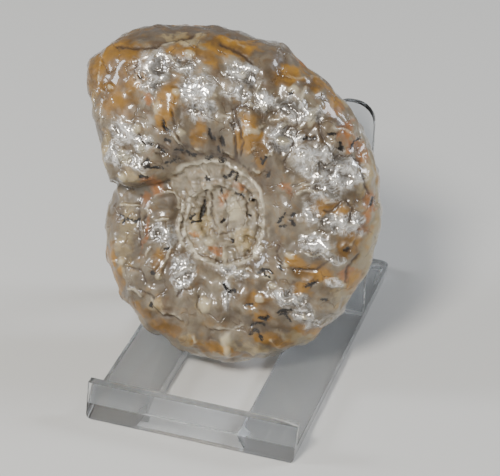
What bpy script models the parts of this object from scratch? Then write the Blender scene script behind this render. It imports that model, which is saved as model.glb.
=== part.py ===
"""A ceratites robustus ammonite fossil leaning in a small clear display stand.

Metres, +Z up. The stand's lip faces -Y, and the fossil leans back on the plate, toward +Y.
The world's origin is on the stand's underside, in the middle of the solid part behind the
plate. Places below are measured from the lip's lower left corner instead.
"""
import math

import bpy
import bmesh
import numpy as np
from mathutils import Matrix, Vector, noise

MM = 0.001

# Display stand, in millimetres.
STAND_WIDTH = 40.0
STAND_DEPTH = 78.0
BASE_THICK = 2.7
LIP_HEIGHT = 7.8
LIP_THICK = 1.9
EDGE_ROUND = 0.9
REAR_ROUND = 1.8
CUT_LEFT = 11.0
CUT_RIGHT = 28.6
CUT_FRONT = LIP_THICK + 0.5
CUT_BACK = 50.0
NOTCH_FLARE = 2.1
NOTCH_DEPTH = 2.2
NOTCH_ROOF = 0.2
PLATE_FOOT = 53.4
PLATE_THICK = 2.2
PLATE_DRAFT = 0.5
PLATE_TALL = 45.7
PLATE_TOP_WIDTH = 35.2
PLATE_ROUND = 3.9
# The gap between the back plate's two arms, down to the web that joins them.
GAP_LEFT = 11.1
GAP_RIGHT = 28.9
WEB_TALL = 9.0
PLATE_LEAN = math.radians(0.8)
# How far a form reaches past the face it is joined to or cut through.
OVERLAP = 1.0
# The world's origin, seen from the lip's lower left corner.
REST_POINT = (STAND_WIDTH / 2, 66.0, 0.0)

# Fossil, in millimetres and degrees. An angle runs anticlockwise as the front shows it,
# and goes on past 360 along the coil: the last whorl runs from COIL_START to COIL_END.
COIL_CENTRE = (15.25, 35.05, 29.0)
FOSSIL_LEAN = math.radians(20.0)
COIL_START = 174.0
COIL_END = 504.0
HALF_THICK_AT_END = 12.4
WIDEST_RADIUS = 40.7

# The venter's distance from the coil's centre, as (angle, radius) where its growth changes.
VENTER = ((100, 19.8), (150, 21.4), (174, 22.4), (190, 23.7), (205, 24.8), (225, 25.9), (245, 26.7),
          (270, 27.4), (300, 27.8), (330, 28.0), (350, 28.4), (370, 29.3), (390, 30.2), (420, 31.4),
          (440, 33.0), (460, 35.2), (480, 38.2), (490, 40.2), (497, 40.7), (504, 39.6), (560, 40.0))
# The umbilical seam's distance from the same centre.
SEAM = ((100, 5.9), (135, 6.9), (174, 7.9), (204, 8.7), (250, 8.4), (292, 8.9), (330, 9.0),
        (371, 8.3), (400, 9.3), (440, 10.6), (473, 11.5), (504, 12.6), (560, 12.8))
# The broken end of the last whorl, as (angle, radius) from its outer corner to the notch.
BROKEN_END = ((144.0, 39.6), (145.2, 36.6), (147.3, 33.6), (151.0, 31.8), (154.0, 29.9),
              (157.0, 28.3), (163.0, 26.4), (168.0, 24.4), (171.0, 23.2), (174.0, 22.4))
# Ribs: (angle, how far the venter stands out), with a knob on the flank and one at the shoulder.
RIBS = ((211, 0.25), (228, 0.35), (245, 0.6), (262, 0.45), (279, 0.9), (297, 0.35), (315, 0.45),
        (333, 0.4), (351, 0.3), (369, 0.25), (387, 0.3), (405, 0.3), (423, 0.35), (442, 1.1),
        (463, 0.3), (484, 0.35))
RIB_HALF_WIDTH = 4.6
RIB_FLANK_WIDTH = 7.0
# On the flank, as shares of the way from seam to venter: the knobs' places, widths and strengths,
# and the wall that rises from the seam.
KNOBS = ((0.40, 0.15, 0.8), (0.84, 0.09, 0.9))
RIB_BASE = 0.30
WALL_DIP = 0.24
WALL_WIDTH = 0.07
# The broken end's line in the fossil's own plane: through its inner corner, toward the outer one.
END_INNER_CORNER = (-22.3, 2.3)
END_DIRECTION = (-9.7, 20.9)
# The seam leaves the last whorl's inner corner here, and the end's face is rounded this far in.
SEAM_FALL_START = 148.0
END_ROUND = 3.0
# The seam between the two earlier whorls, as a share of the umbilicus, and how low these lie.
INNER_SEAM = 0.56
INNER_LEVEL = 0.64
# Half the thickness at the very centre, where every angle meets.
CENTRE_HALF_THICK = 8.6
# Beside the broken end, between these angles, the earlier whorl shows.
BARE_FROM = 100.0
BARE_TO = 204.0

SEGMENTS = 96
ROWS = 21
INNER_ROWS = (0.24, 0.42, 0.56, 0.70, 0.86, 0.955, 1.01)


def new_collection(name, hidden=False):
    collection = bpy.data.collections.new(name)
    bpy.context.scene.collection.children.link(collection)
    collection.hide_render = hidden
    return collection


def new_material(name, colour, roughness, transmission=0.0, ior=1.5):
    material = bpy.data.materials.new(name)
    material.use_nodes = True
    shader = material.node_tree.nodes["Principled BSDF"]
    shader.inputs["Base Color"].default_value = (*colour, 1.0)
    shader.inputs["Roughness"].default_value = roughness
    shader.inputs["Metallic"].default_value = 0.0
    shader.inputs["Transmission Weight"].default_value = transmission
    shader.inputs["IOR"].default_value = ior
    material.diffuse_color = (*colour, 1.0)
    return material


def new_object(name, mesh_data, collection, material=None):
    mesh = bpy.data.meshes.new(name)
    mesh_data.to_mesh(mesh)
    mesh_data.free()
    if material:
        mesh.materials.append(material)
    obj = bpy.data.objects.new(name, mesh)
    collection.objects.link(obj)
    return obj


def box_mesh(low, high):
    """A cube primitive stretched between two corners given in millimetres."""
    low, high = Vector(low) * MM, Vector(high) * MM
    mesh_data = bmesh.new()
    bmesh.ops.create_cube(mesh_data, size=1.0)
    bmesh.ops.scale(mesh_data, vec=high - low, verts=mesh_data.verts)
    bmesh.ops.translate(mesh_data, vec=(low + high) / 2, verts=mesh_data.verts)
    return mesh_data


def round_edges(mesh_data, wanted, radius, segments):
    """Bevel the edges for which wanted(first end, second end) is true, in millimetres."""
    edges = [edge for edge in mesh_data.edges if wanted(*(v.co / MM for v in edge.verts))]
    bmesh.ops.bevel(mesh_data, geom=edges, offset=radius * MM, offset_type="OFFSET",
                    segments=segments, profile=0.5, affect="EDGES")


def apply_boolean(obj, other, operation):
    modifier = obj.modifiers.new(operation.lower(), "BOOLEAN")
    modifier.operation = operation
    modifier.solver = "EXACT"
    modifier.object = other
    with bpy.context.temp_override(object=obj, active_object=obj):
        bpy.ops.object.modifier_apply(modifier=modifier.name)


def lip_and_base_mesh():
    """The base plate, with its front strip drawn up into the lip."""
    base = box_mesh((0, 0, 0), (STAND_WIDTH, STAND_DEPTH, BASE_THICK))
    everything = list(base.verts) + list(base.edges) + list(base.faces)
    bmesh.ops.bisect_plane(base, geom=everything, plane_co=(0, LIP_THICK * MM, 0), plane_no=(0, 1, 0))
    strip = [face for face in base.faces
             if face.normal.z > 0.9 and face.calc_center_median().y < LIP_THICK * MM]
    drawn = bmesh.ops.extrude_face_region(base, geom=strip)["geom"]
    bmesh.ops.delete(base, geom=strip, context="FACES_ONLY")
    risen = [part for part in drawn if isinstance(part, bmesh.types.BMVert)]
    bmesh.ops.translate(base, vec=(0, 0, (LIP_HEIGHT - BASE_THICK) * MM), verts=risen)
    round_edges(base, lambda a, b: abs(a.z - b.z) > 1 and min(a.y, b.y) > STAND_DEPTH - 1, REAR_ROUND, 4)
    round_edges(base, lambda a, b: abs(a.y - b.y) > 1 and max(a.z, b.z) < 0.01
                and abs(a.x - b.x) < 0.01, EDGE_ROUND, 3)
    return base


def back_plate_mesh():
    """The back plate: a low web with two arms drawn up from it, narrower to their rounded tops."""
    plate = box_mesh((0, 0, -OVERLAP), (STAND_WIDTH, PLATE_THICK, WEB_TALL))
    for side in (GAP_LEFT, GAP_RIGHT):
        everything = list(plate.verts) + list(plate.edges) + list(plate.faces)
        bmesh.ops.bisect_plane(plate, geom=everything, plane_co=(side * MM, 0, 0), plane_no=(1, 0, 0))
    roots = [face for face in plate.faces if face.normal.z > 0.9
             and not GAP_LEFT < face.calc_center_median().x / MM < GAP_RIGHT]
    drawn = bmesh.ops.extrude_face_region(plate, geom=roots)["geom"]
    bmesh.ops.delete(plate, geom=roots, context="FACES_ONLY")
    risen = [part for part in drawn if isinstance(part, bmesh.types.BMVert)]
    bmesh.ops.translate(plate, vec=(0, 0, (PLATE_TALL - WEB_TALL) * MM), verts=risen)
    middle = STAND_WIDTH / 2 * MM
    for vert in plate.verts:
        height = max(0.0, vert.co.z) / (PLATE_TALL * MM)
        if abs(vert.co.x - middle) > middle - 0.01 * MM:
            vert.co.x += (middle - vert.co.x) * (1 - PLATE_TOP_WIDTH / STAND_WIDTH) * height
        # The draft makes the plate thinner to its top, on the rear face only.
        if vert.co.y > PLATE_THICK / 2 * MM:
            vert.co.y -= PLATE_DRAFT * MM * height
    round_edges(plate, lambda a, b: abs(a.y - b.y) > 1 and min(a.z, b.z) > WEB_TALL - 0.1
                and (min(a.z, b.z) > PLATE_TALL - 0.1 or GAP_LEFT - 0.1 < a.x < GAP_RIGHT + 0.1),
                PLATE_ROUND, 6)
    bmesh.ops.rotate(plate, cent=(0, 0, 0), matrix=Matrix.Rotation(-PLATE_LEAN, 3, "X"), verts=plate.verts)
    # The foot stays inside the base's sides, which are the plate's own at that height.
    inset = 0.02
    squeeze = (STAND_WIDTH - 2 * inset) / STAND_WIDTH
    for vert in plate.verts:
        vert.co.x = middle + (vert.co.x - middle) * squeeze
    bmesh.ops.translate(plate, vec=Vector((0, PLATE_FOOT, BASE_THICK)) * MM, verts=plate.verts)
    return plate


def cutter_meshes():
    """The window between the base's two side strips, and the flared slot at its front."""
    window = box_mesh((CUT_LEFT, CUT_FRONT, -OVERLAP), (CUT_RIGHT, CUT_BACK, BASE_THICK + OVERLAP))
    slot = box_mesh((CUT_LEFT - NOTCH_FLARE, CUT_FRONT, -OVERLAP),
                    (CUT_RIGHT + NOTCH_FLARE, CUT_FRONT + NOTCH_DEPTH, BASE_THICK - NOTCH_ROOF))
    for vert in slot.verts:
        if vert.co.z > 0:
            vert.co.x += math.copysign(NOTCH_FLARE * MM, STAND_WIDTH / 2 * MM - vert.co.x)
    return {"window_cutter": window, "slot_cutter": slot}


def make_stand(collection, cutters):
    clear = new_material("clear_plastic", (0.90, 0.93, 0.96), 0.05, transmission=1.0, ior=1.49)
    stand = new_object("display_stand", lip_and_base_mesh(), collection, clear)
    plate = new_object("plate_form", back_plate_mesh(), collection)
    apply_boolean(stand, plate, "UNION")
    bpy.data.objects.remove(plate)
    for name, mesh_data in cutter_meshes().items():
        cutter = new_object(name, mesh_data, cutters)
        cutter.display_type = "WIRE"
        apply_boolean(stand, cutter, "DIFFERENCE")
    return stand


def read_curve(points, angle):
    """A radius read at an angle from a short list, eased so that no corner shows."""
    angles, radii = zip(*points)
    nearby = [np.interp(angle + shift, angles, radii) for shift in (-9.0, -4.5, 0.0, 4.5, 9.0)]
    return sum(nearby) / len(nearby)


def rib_swell(coil_angle):
    """How far the ribs stand out of the venter at an angle along the coil."""
    swell = 0.0
    for centre, height in RIBS:
        swell += height * math.exp(-((coil_angle - centre) / RIB_HALF_WIDTH) ** 2)
    return swell


def venter_radius(coil_angle):
    return read_curve(VENTER, coil_angle) + rib_swell(coil_angle)


def outline_radius(angle):
    """The fossil's outline: the last whorl's venter, then the broken end down to the notch."""
    angle %= 360.0
    first, last = BROKEN_END[0][0], BROKEN_END[-1][0]
    if first <= angle <= last:
        angles, radii = zip(*BROKEN_END)
        return float(np.interp(angle, angles, radii))
    coil_angle = angle if angle > last else angle + 360.0
    radius = venter_radius(coil_angle)
    # Both ends of the venter are led onto the broken end's own corners.
    if coil_angle > COIL_END - 8:
        share = (coil_angle - COIL_END + 8) / 8
        radius += share * (BROKEN_END[0][1] - venter_radius(COIL_END))
    if coil_angle < COIL_START + 8:
        share = (COIL_START + 8 - coil_angle) / 8
        radius += share * (BROKEN_END[-1][1] - venter_radius(COIL_START))
    return radius


def half_thickness(coil_angle):
    return HALF_THICK_AT_END * read_curve(VENTER, coil_angle) / WIDEST_RADIUS


def ease(share):
    """A share from 0 to 1, slowed at both ends."""
    share = max(0.0, min(1.0, share))
    return share * share * (3 - 2 * share)


def seam_radius(angle):
    """The seam that shows at an angle: past the broken end it drops to the earlier whorl's."""
    if angle >= COIL_START:
        return read_curve(SEAM, angle)
    seam = read_curve(SEAM, angle + 360.0)
    fall = ease((angle - SEAM_FALL_START) / (COIL_START - SEAM_FALL_START))
    return seam + (read_curve(SEAM, COIL_START) - seam) * fall


def whorl_height(coil_angle, radius, venter, front):
    """The flank's height over the middle plane, from the umbilical seam out to the venter."""
    seam = read_curve(SEAM, coil_angle)
    across = max(0.0, min((radius - seam) / (venter - seam), 1.0))
    arch = (1.0 - across ** 5) ** 0.5
    wall = 1.0 - WALL_DIP * math.exp(-across / WALL_WIDTH)
    slope = 1.0 + 0.06 * (0.4 - across)
    height = half_thickness(coil_angle) * arch * wall * slope
    # Each rib carries a knob low on the flank and a stronger one near the shoulder.
    knobs = sum(size * math.exp(-((across - place) / width) ** 2) for place, width, size in KNOBS)
    shape = (RIB_BASE + knobs) * ease(across / 0.3) * arch
    for centre, strength in RIBS:
        beside = (coil_angle - centre - 10 * (across - 0.5)) / RIB_FLANK_WIDTH
        height += (0.5 + 0.4 * strength) * math.exp(-beside ** 2) * shape * (1.0 if front else 0.8)
    return height


def umbilicus_height(angle, radius, seam):
    """The earlier whorls inside the seam, with the raised seam lines between them."""
    # Between the two ends of the last whorl the level falls from one to the other.
    if BARE_FROM <= angle <= BARE_TO:
        fall = ease((angle - BARE_FROM) / (BARE_TO - BARE_FROM))
        local = half_thickness(BARE_FROM + 360.0) * (1 - fall) + half_thickness(BARE_TO) * fall
    else:
        local = half_thickness(angle if angle > BARE_TO else angle + 360.0)
    share = radius / seam
    local = CENTRE_HALF_THICK + (local - CENTRE_HALF_THICK) * ease(share / 0.5)
    step = ease((share - INNER_SEAM + 0.05) / 0.1)
    height = local * (INNER_LEVEL + 0.10 * step - 0.05 * (1 - share))
    height += 0.75 * math.exp(-((share - 0.955) / 0.035) ** 2)
    height += 0.45 * math.exp(-((share - INNER_SEAM - 0.02) / 0.06) ** 2)
    return height


def inside_last_whorl(x, y):
    """Distance in from the broken end, negative on the whorl that is bared beside it."""
    # The end's long side runs from the outer corner to the inner one, its short side on to the seam.
    from_x, from_y = x - END_INNER_CORNER[0], y - END_INNER_CORNER[1]
    to_x, to_y = END_DIRECTION
    long_side = (from_x * to_y - from_y * to_x) / math.hypot(to_x, to_y)
    short_side = from_y - 0.42 * max(0.0, from_x - 5.3)
    return min(long_side, short_side)


def surface_height(angle, radius, outline, front):
    """Half the fossil's thickness at a place, before its lumps."""
    seam = seam_radius(angle)
    if radius < seam:
        return umbilicus_height(angle, radius, seam)
    if not BARE_FROM <= angle <= BARE_TO:
        return whorl_height(angle if angle > BARE_TO else angle + 360.0, radius, outline, front)
    # Beside the broken end, the earlier whorl shows where the last one has stopped.
    swell = rib_swell(angle) if angle > COIL_START else 0.0
    venter = read_curve(VENTER, angle) + swell
    height = whorl_height(angle, min(radius, venter), venter, front)
    x, y = radius * math.cos(math.radians(angle)), radius * math.sin(math.radians(angle))
    inside = inside_last_whorl(x, y)
    if inside > 0.0:
        venter = venter_radius(angle + 360.0)
        last = whorl_height(angle + 360.0, min(radius, venter), venter, front)
        last *= (1.0 - (1.0 - min(inside / END_ROUND, 1.0)) ** 2.5) ** 0.5
        height = max(height, last)
    return height


def lumps(x, y, front):
    """Weathered lumps and pits a few millimetres across."""
    side = 0.0 if front else 40.0
    broad = noise.noise(Vector((x * 0.16, y * 0.16, side)))
    middle = noise.noise(Vector((x * 0.38, y * 0.38, side + 7.0)))
    return 0.55 * broad + 0.38 * middle


def ring_radius(row, angle, outline):
    """Radius of one ring of vertices: the first rings follow the seam, the rest fill the flank."""
    seam = seam_radius(angle)
    if row <= len(INNER_ROWS):
        return seam * INNER_ROWS[row - 1]
    start = seam * INNER_ROWS[-1]
    share = (row - len(INNER_ROWS)) / (ROWS - len(INNER_ROWS))
    return start + (outline - start) * math.sin(math.pi / 2 * share)


def fossil_mesh():
    """A sphere primitive whose rings are laid over the coil's front, rim and back."""
    ball = bmesh.new()
    bmesh.ops.create_uvsphere(ball, u_segments=SEGMENTS, v_segments=2 * ROWS, radius=1.0)
    for vert in ball.verts:
        latitude = math.asin(max(-1.0, min(1.0, vert.co.z)))
        row = round((math.pi / 2 - abs(latitude)) / (math.pi / 2) * ROWS)
        front = latitude > 0
        if row == 0:
            angle, radius, outline = 0.0, 0.0, outline_radius(0.0)
        else:
            angle = math.degrees(math.atan2(vert.co.y, vert.co.x)) % 360.0
            outline = outline_radius(angle)
            radius = ring_radius(row, angle, outline)
        x, y = radius * math.cos(math.radians(angle)), radius * math.sin(math.radians(angle))
        height = 0.0
        if row < ROWS:
            height = surface_height(angle, radius, outline, front)
            height += lumps(x, y, front) * min(1.0, (outline - radius) / 3.0)
            height = max(height, 0.4)
        vert.co = Vector((x, y, height if front else -height)) * MM
    return ball


def make_fossil(collection):
    stone = new_material("varnished_stone", (0.42, 0.32, 0.22), 0.3)
    fossil = new_object("ammonite_fossil", fossil_mesh(), collection, stone)
    # The front, +Z as modelled, is stood up to face the lip and then leans back.
    fossil.rotation_euler = (math.radians(90.0) - FOSSIL_LEAN, 0.0, 0.0)
    fossil.location = Vector(COIL_CENTRE) * MM
    return fossil


def main():
    for obj in list(bpy.data.objects):
        bpy.data.objects.remove(obj, do_unlink=True)
    parts = new_collection("ammonite_fossil_on_stand")
    cutters = new_collection("cutters", hidden=True)
    corner = bpy.data.objects.new("lip_corner", None)
    parts.objects.link(corner)
    corner.location = -Vector(REST_POINT) * MM
    for piece in (make_stand(parts, cutters), make_fossil(parts), *cutters.objects):
        piece.parent = corner
    bpy.context.view_layer.update()


main()
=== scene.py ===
# %% [markdown]
# A ceratite leaning in a clear easel
#
# A ceratite is a flat coiled shell that filled with lime mud 240 million years ago. The shell is
# gone, and what is left is the stone cast of its inside: grey-beige calcite, stained honey and
# rust by iron, crumpled where it shrank, and varnished so that every wrinkle catches the light.
# It leans in a small easel of clear moulded plastic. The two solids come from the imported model,
# and this script gives each of them the form and the finish that the eye sees.

# %% Load the frame
import math

import bpy
import numpy as np
from mathutils import Matrix, Vector, noise


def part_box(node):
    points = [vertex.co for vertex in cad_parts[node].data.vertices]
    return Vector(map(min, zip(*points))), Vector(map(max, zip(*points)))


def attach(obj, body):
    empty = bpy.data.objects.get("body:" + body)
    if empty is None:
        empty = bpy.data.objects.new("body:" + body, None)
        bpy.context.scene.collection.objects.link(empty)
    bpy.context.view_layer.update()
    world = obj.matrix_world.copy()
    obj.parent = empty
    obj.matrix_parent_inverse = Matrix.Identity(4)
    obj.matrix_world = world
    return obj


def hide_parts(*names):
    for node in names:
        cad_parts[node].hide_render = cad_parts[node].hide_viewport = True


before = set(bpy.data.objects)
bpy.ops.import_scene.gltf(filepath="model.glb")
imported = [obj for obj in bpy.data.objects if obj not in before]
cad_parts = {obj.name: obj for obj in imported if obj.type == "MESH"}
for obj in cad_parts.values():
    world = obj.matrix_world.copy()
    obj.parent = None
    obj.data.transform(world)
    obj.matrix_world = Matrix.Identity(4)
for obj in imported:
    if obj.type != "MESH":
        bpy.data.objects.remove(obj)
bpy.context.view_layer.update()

MM = 0.001
STAND_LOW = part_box("display_stand")[0]

# %% [markdown]
# Helpers. Colours are chosen as the screen shows them, in hex, and one function turns them to the
# linear values that a shader wants. One more adds a node, sets its values and links its inputs,
# so that a material below reads as a list of steps.

# %% Helpers for colours, nodes and selections
def linear(hex_colour):
    channels = [int(hex_colour[i:i + 2], 16) / 255 for i in (1, 3, 5)]
    return tuple(c / 12.92 if c <= 0.04045 else ((c + 0.055) / 1.055) ** 2.4 for c in channels) + (1.0,)


def add_node(material, kind, settings=None, inputs=None):
    """A node of that kind. An input gets a number, a hex colour or a link from another output."""
    tree = material.node_tree
    node = tree.nodes.new(kind)
    for name, value in (settings or {}).items():
        setattr(node, name, value)
    for name, value in (inputs or {}).items():
        if isinstance(value, bpy.types.NodeSocket):
            tree.links.new(value, node.inputs[name])
        elif isinstance(value, str):
            node.inputs[name].default_value = linear(value)
        else:
            node.inputs[name].default_value = value
    return node


def new_material(name):
    """A material with only a Principled shader and its output."""
    material = bpy.data.materials.new(name)
    material.use_nodes = True
    return material, material.node_tree.nodes["Principled BSDF"]


def deselect_all():
    if bpy.context.object and bpy.context.object.mode != "OBJECT":
        bpy.ops.object.mode_set(mode="OBJECT")
    bpy.ops.object.select_all(action="DESELECT")


def finish_piece(obj, node):
    """Places are written into the mesh, and the piece takes over from its CAD node."""
    deselect_all()
    obj.select_set(True)
    bpy.context.view_layer.objects.active = obj
    bpy.ops.object.transform_apply(location=True, rotation=True, scale=True)
    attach(obj, "root")
    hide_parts(node)
    print(obj.name, "has", sum(len(p.vertices) - 2 for p in obj.data.polygons), "triangles")


# %% [markdown]
# The camera stands where the photograph's stood: a little to the right, looking down 28 degrees.
# Its place was found from the stand's straight edges. The lens is long, so the near and far
# edges of the stand run almost parallel.

# %% Camera
CORNER = Vector((STAND_LOW.x, STAND_LOW.y, STAND_LOW.z))
CAMERA_PLACE = CORNER + Vector((120.0, -392.5, 259.0)) * MM
LOOK_DOWN = math.radians(28.04)
TURN_LEFT = math.radians(13.18)
ROLL = math.radians(5.21)
FRAME_WIDTH_PX = 500
FOCAL_PX = 2600

camera_data = bpy.data.cameras.new("camera")
camera_data.sensor_width = 36.0
camera_data.lens = 36.0 * FOCAL_PX / FRAME_WIDTH_PX
camera_data.clip_start = 0.01
camera = bpy.data.objects.new("camera", camera_data)
bpy.context.scene.collection.objects.link(camera)
camera.matrix_world = (Matrix.Translation(CAMERA_PLACE) @ Matrix.Rotation(TURN_LEFT, 4, "Z")
                       @ Matrix.Rotation(math.pi / 2 - LOOK_DOWN, 4, "X") @ Matrix.Rotation(ROLL, 4, "Z"))
bpy.context.scene.camera = camera
print("lens", round(camera_data.lens, 1), "mm")

# %% [markdown]
# The fossil's form. The coil is laid out in the stone's own plane, x to the right and y up as it
# faces us, in millimetres from the coil's centre. Angles run anticlockwise, and past 360 degrees
# they go on along the coil. The venter is the whorl's outer rim and the seam its inner one, and
# both grow as the animal grew. A few radii say how, and are eased so that no corner shows.

# %% The coil's plan
COIL_CENTRE = (15.25, 35.05, 29.0)
FOSSIL_LEAN = math.radians(20.0)
COIL_START, COIL_END = 174.0, 504.0
HALF_THICK_AT_END = 12.4
WIDEST_RADIUS = 40.7
VENTER = ((100, 19.8), (150, 21.4), (174, 22.4), (190, 23.7), (205, 24.8), (225, 25.9), (245, 26.7),
          (270, 27.4), (300, 27.8), (330, 28.0), (350, 28.4), (370, 29.3), (390, 30.2), (420, 31.4),
          (440, 33.0), (460, 35.2), (480, 38.2), (490, 40.2), (497, 40.7), (504, 39.6), (560, 40.0))
SEAM = ((100, 5.9), (135, 6.9), (174, 7.9), (204, 8.7), (250, 8.4), (292, 8.9), (330, 9.0),
        (371, 8.3), (400, 9.3), (440, 10.6), (473, 11.5), (504, 12.6), (560, 12.8))
BROKEN_END = ((144.0, 39.6), (145.2, 36.6), (147.3, 33.6), (151.0, 31.8), (154.0, 29.9),
              (157.0, 28.3), (163.0, 26.4), (168.0, 24.4), (171.0, 23.2), (174.0, 22.4))
RIBS = ((211, 0.25), (228, 0.35), (245, 0.6), (262, 0.45), (279, 0.9), (297, 0.35), (315, 0.45),
        (333, 0.4), (351, 0.3), (369, 0.25), (387, 0.3), (405, 0.3), (423, 0.35), (442, 1.1),
        (463, 0.3), (484, 0.35))
RIB_HALF_WIDTH = 4.6
RIB_FLANK_WIDTH = 7.0
SEAM_FALL_START = 148.0
# Between these angles the earlier whorl lies bare beside the broken end.
BARE_FROM, BARE_TO = 100.0, 204.0
END_INNER_CORNER = (-22.3, 2.3)
END_DIRECTION = (20.9, 9.7)
NOTCH_FROM, NOTCH_SLOPE = -17.0, 0.42
END_ROUND = 3.0
# Over this many degrees the outline runs into the broken end's.
END_BLEND = 8.0


def read_curve(points, angle):
    """Radii read at many angles from a short list, eased so that no corner shows."""
    angles, radii = zip(*points)
    return sum(np.interp(angle + shift, angles, radii) for shift in (-9.0, -4.5, 0.0, 4.5, 9.0)) / 5


def bell(distance, width):
    return np.exp(-(distance / width) ** 2)


def ease(share):
    share = np.clip(share, 0.0, 1.0)
    return share * share * (3 - 2 * share)


def rib_swell(coil_angle):
    return sum(height * bell(coil_angle - centre, RIB_HALF_WIDTH) for centre, height in RIBS)


def venter_radius(coil_angle):
    return read_curve(VENTER, coil_angle) + rib_swell(coil_angle)


def outline_radius(angle):
    """The outline: the last whorl's venter, then the broken end down to the notch."""
    first, last = BROKEN_END[0], BROKEN_END[-1]
    coil_angle = np.where(angle > last[0], angle, angle + 360.0)
    radius = venter_radius(coil_angle)
    to_end = np.clip((coil_angle - COIL_END + END_BLEND) / END_BLEND, 0, 1)
    radius = radius + to_end * (first[1] - venter_radius(np.array(COIL_END)))
    to_start = np.clip((COIL_START + END_BLEND - coil_angle) / END_BLEND, 0, 1)
    radius = radius + to_start * (last[1] - venter_radius(np.array(COIL_START)))
    end_angles, end_radii = zip(*BROKEN_END)
    on_end = (angle >= first[0]) & (angle <= last[0])
    return np.where(on_end, np.interp(angle, end_angles, end_radii), radius)


across = outline_radius(np.array(140.0)) + outline_radius(np.array(320.0))
print("outline spans", round(float(across), 1), "mm")

# %% [markdown]
# The flank's height. Across a whorl the stone rises from the seam over a short wall to a broad,
# nearly flat flank and turns over the shoulder to the venter. Ribs cross it with a low knob and a
# stronger one at the shoulder. Inside the seam the earlier whorls lie lower, with raised seam
# lines between them. The last whorl is broken off at the upper left, and the one before it is
# bared beside the break.

# %% Height of the flanks
# Along a rib, from 0 at the seam to 1 at the venter: where each knob stands, its height and width.
RIB_KNOBS = ((0.40, 0.8, 0.15), (0.84, 0.9, 0.09))
RIB_BASE = 0.30
RIB_SWEEP = 10.0
RIB_FULL_FROM = 0.3
BACK_RIB_SHARE = 0.8
FLANK_SLOPE, FLANK_MIDDLE = 0.06, 0.4
SEAM_DIP, SEAM_DIP_WIDTH = 0.24, 0.07
# Inside the seam the earlier whorls are this much of the last one's height, with a step between
# them, and two raised seams: the height, the place and the width of each.
EARLY_HEIGHT = 0.64
STEP_HEIGHT, STEP_PLACE, STEP_WIDTH = 0.10, 0.51, 0.1
INNER_SEAMS = ((0.75, 0.955, 0.035), (0.45, 0.58, 0.06))
CENTRE_HALF_THICK = 8.6
CENTRE_SINK = 0.05


def half_thickness(coil_angle):
    return HALF_THICK_AT_END * read_curve(VENTER, coil_angle) / WIDEST_RADIUS


def seam_radius(angle):
    """The seam that shows at an angle: past the broken end it drops to the earlier whorl's."""
    outer = read_curve(SEAM, angle + 360.0)
    inner = read_curve(SEAM, np.array(COIL_START))
    fall = ease((angle - SEAM_FALL_START) / (COIL_START - SEAM_FALL_START))
    return np.where(angle >= COIL_START, read_curve(SEAM, angle), outer + (inner - outer) * fall)


def whorl_height(coil_angle, radius, venter, front):
    seam = read_curve(SEAM, coil_angle)
    across = np.clip((radius - seam) / (venter - seam), 0.0, 1.0)
    arch = (1.0 - across ** 5) ** 0.5
    wall = 1.0 - SEAM_DIP * np.exp(-across / SEAM_DIP_WIDTH)
    height = half_thickness(coil_angle) * arch * wall * (1.0 + FLANK_SLOPE * (FLANK_MIDDLE - across))
    shape = RIB_BASE + sum(tall * bell(across - spot, width) for spot, tall, width in RIB_KNOBS)
    shape = shape * ease(across / RIB_FULL_FROM) * arch * np.where(front, 1.0, BACK_RIB_SHARE)
    for centre, strength in RIBS:
        beside = coil_angle - centre - RIB_SWEEP * (across - 0.5)
        height = height + (0.5 + 0.4 * strength) * bell(beside, RIB_FLANK_WIDTH) * shape
    return height


def on_coil(angle):
    """The angle counted along the coil for the whorl that shows at that angle."""
    return np.where(angle > BARE_TO, angle, angle + 360.0)


def umbilicus_height(angle, radius, seam):
    fall = ease((angle - BARE_FROM) / (BARE_TO - BARE_FROM))
    late, early = half_thickness(np.array(BARE_FROM + 360.0)), half_thickness(np.array(BARE_TO))
    beside_end = (angle >= BARE_FROM) & (angle <= BARE_TO)
    local = np.where(beside_end, late * (1 - fall) + early * fall, half_thickness(on_coil(angle)))
    share = radius / seam
    local = CENTRE_HALF_THICK + (local - CENTRE_HALF_THICK) * ease(share / 0.5)
    step = STEP_HEIGHT * ease((share - STEP_PLACE) / STEP_WIDTH)
    height = local * (EARLY_HEIGHT + step - CENTRE_SINK * (1 - share))
    return height + sum(tall * bell(share - spot, width) for tall, spot, width in INNER_SEAMS)


def inside_last_whorl(x, y):
    """Distance in from the broken end, negative on the whorl that is bared beside it."""
    corner_x, corner_y = END_INNER_CORNER
    along_x, along_y = END_DIRECTION
    long_side = ((x - corner_x) * along_x + (y - corner_y) * along_y) / math.hypot(along_x, along_y)
    short_side = y - corner_y - NOTCH_SLOPE * np.maximum(0.0, x - NOTCH_FROM)
    return np.minimum(long_side, short_side)


def surface_height(angle, radius, outline, front):
    seam = seam_radius(angle)
    inner = umbilicus_height(angle, radius, seam)
    outer = whorl_height(on_coil(angle), radius, outline, front)
    x, y = radius * np.cos(np.radians(angle)), radius * np.sin(np.radians(angle))
    # Beside the broken end, the earlier whorl shows where the last one has stopped.
    early_venter = read_curve(VENTER, angle) + np.where(angle > COIL_START, rib_swell(angle), 0.0)
    early = whorl_height(angle, np.minimum(radius, early_venter), early_venter, front)
    late_venter = venter_radius(angle + 360.0)
    late = whorl_height(angle + 360.0, np.minimum(radius, late_venter), late_venter, front)
    inside = np.clip(inside_last_whorl(x, y) / END_ROUND, 0.0, 1.0)
    late = late * (1.0 - (1.0 - inside) ** 2.5) ** 0.5
    near_end = (angle >= BARE_FROM) & (angle <= BARE_TO)
    outer = np.where(near_end, np.maximum(early, late), outer)
    return np.where(radius < seam, inner, outer)


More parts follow.
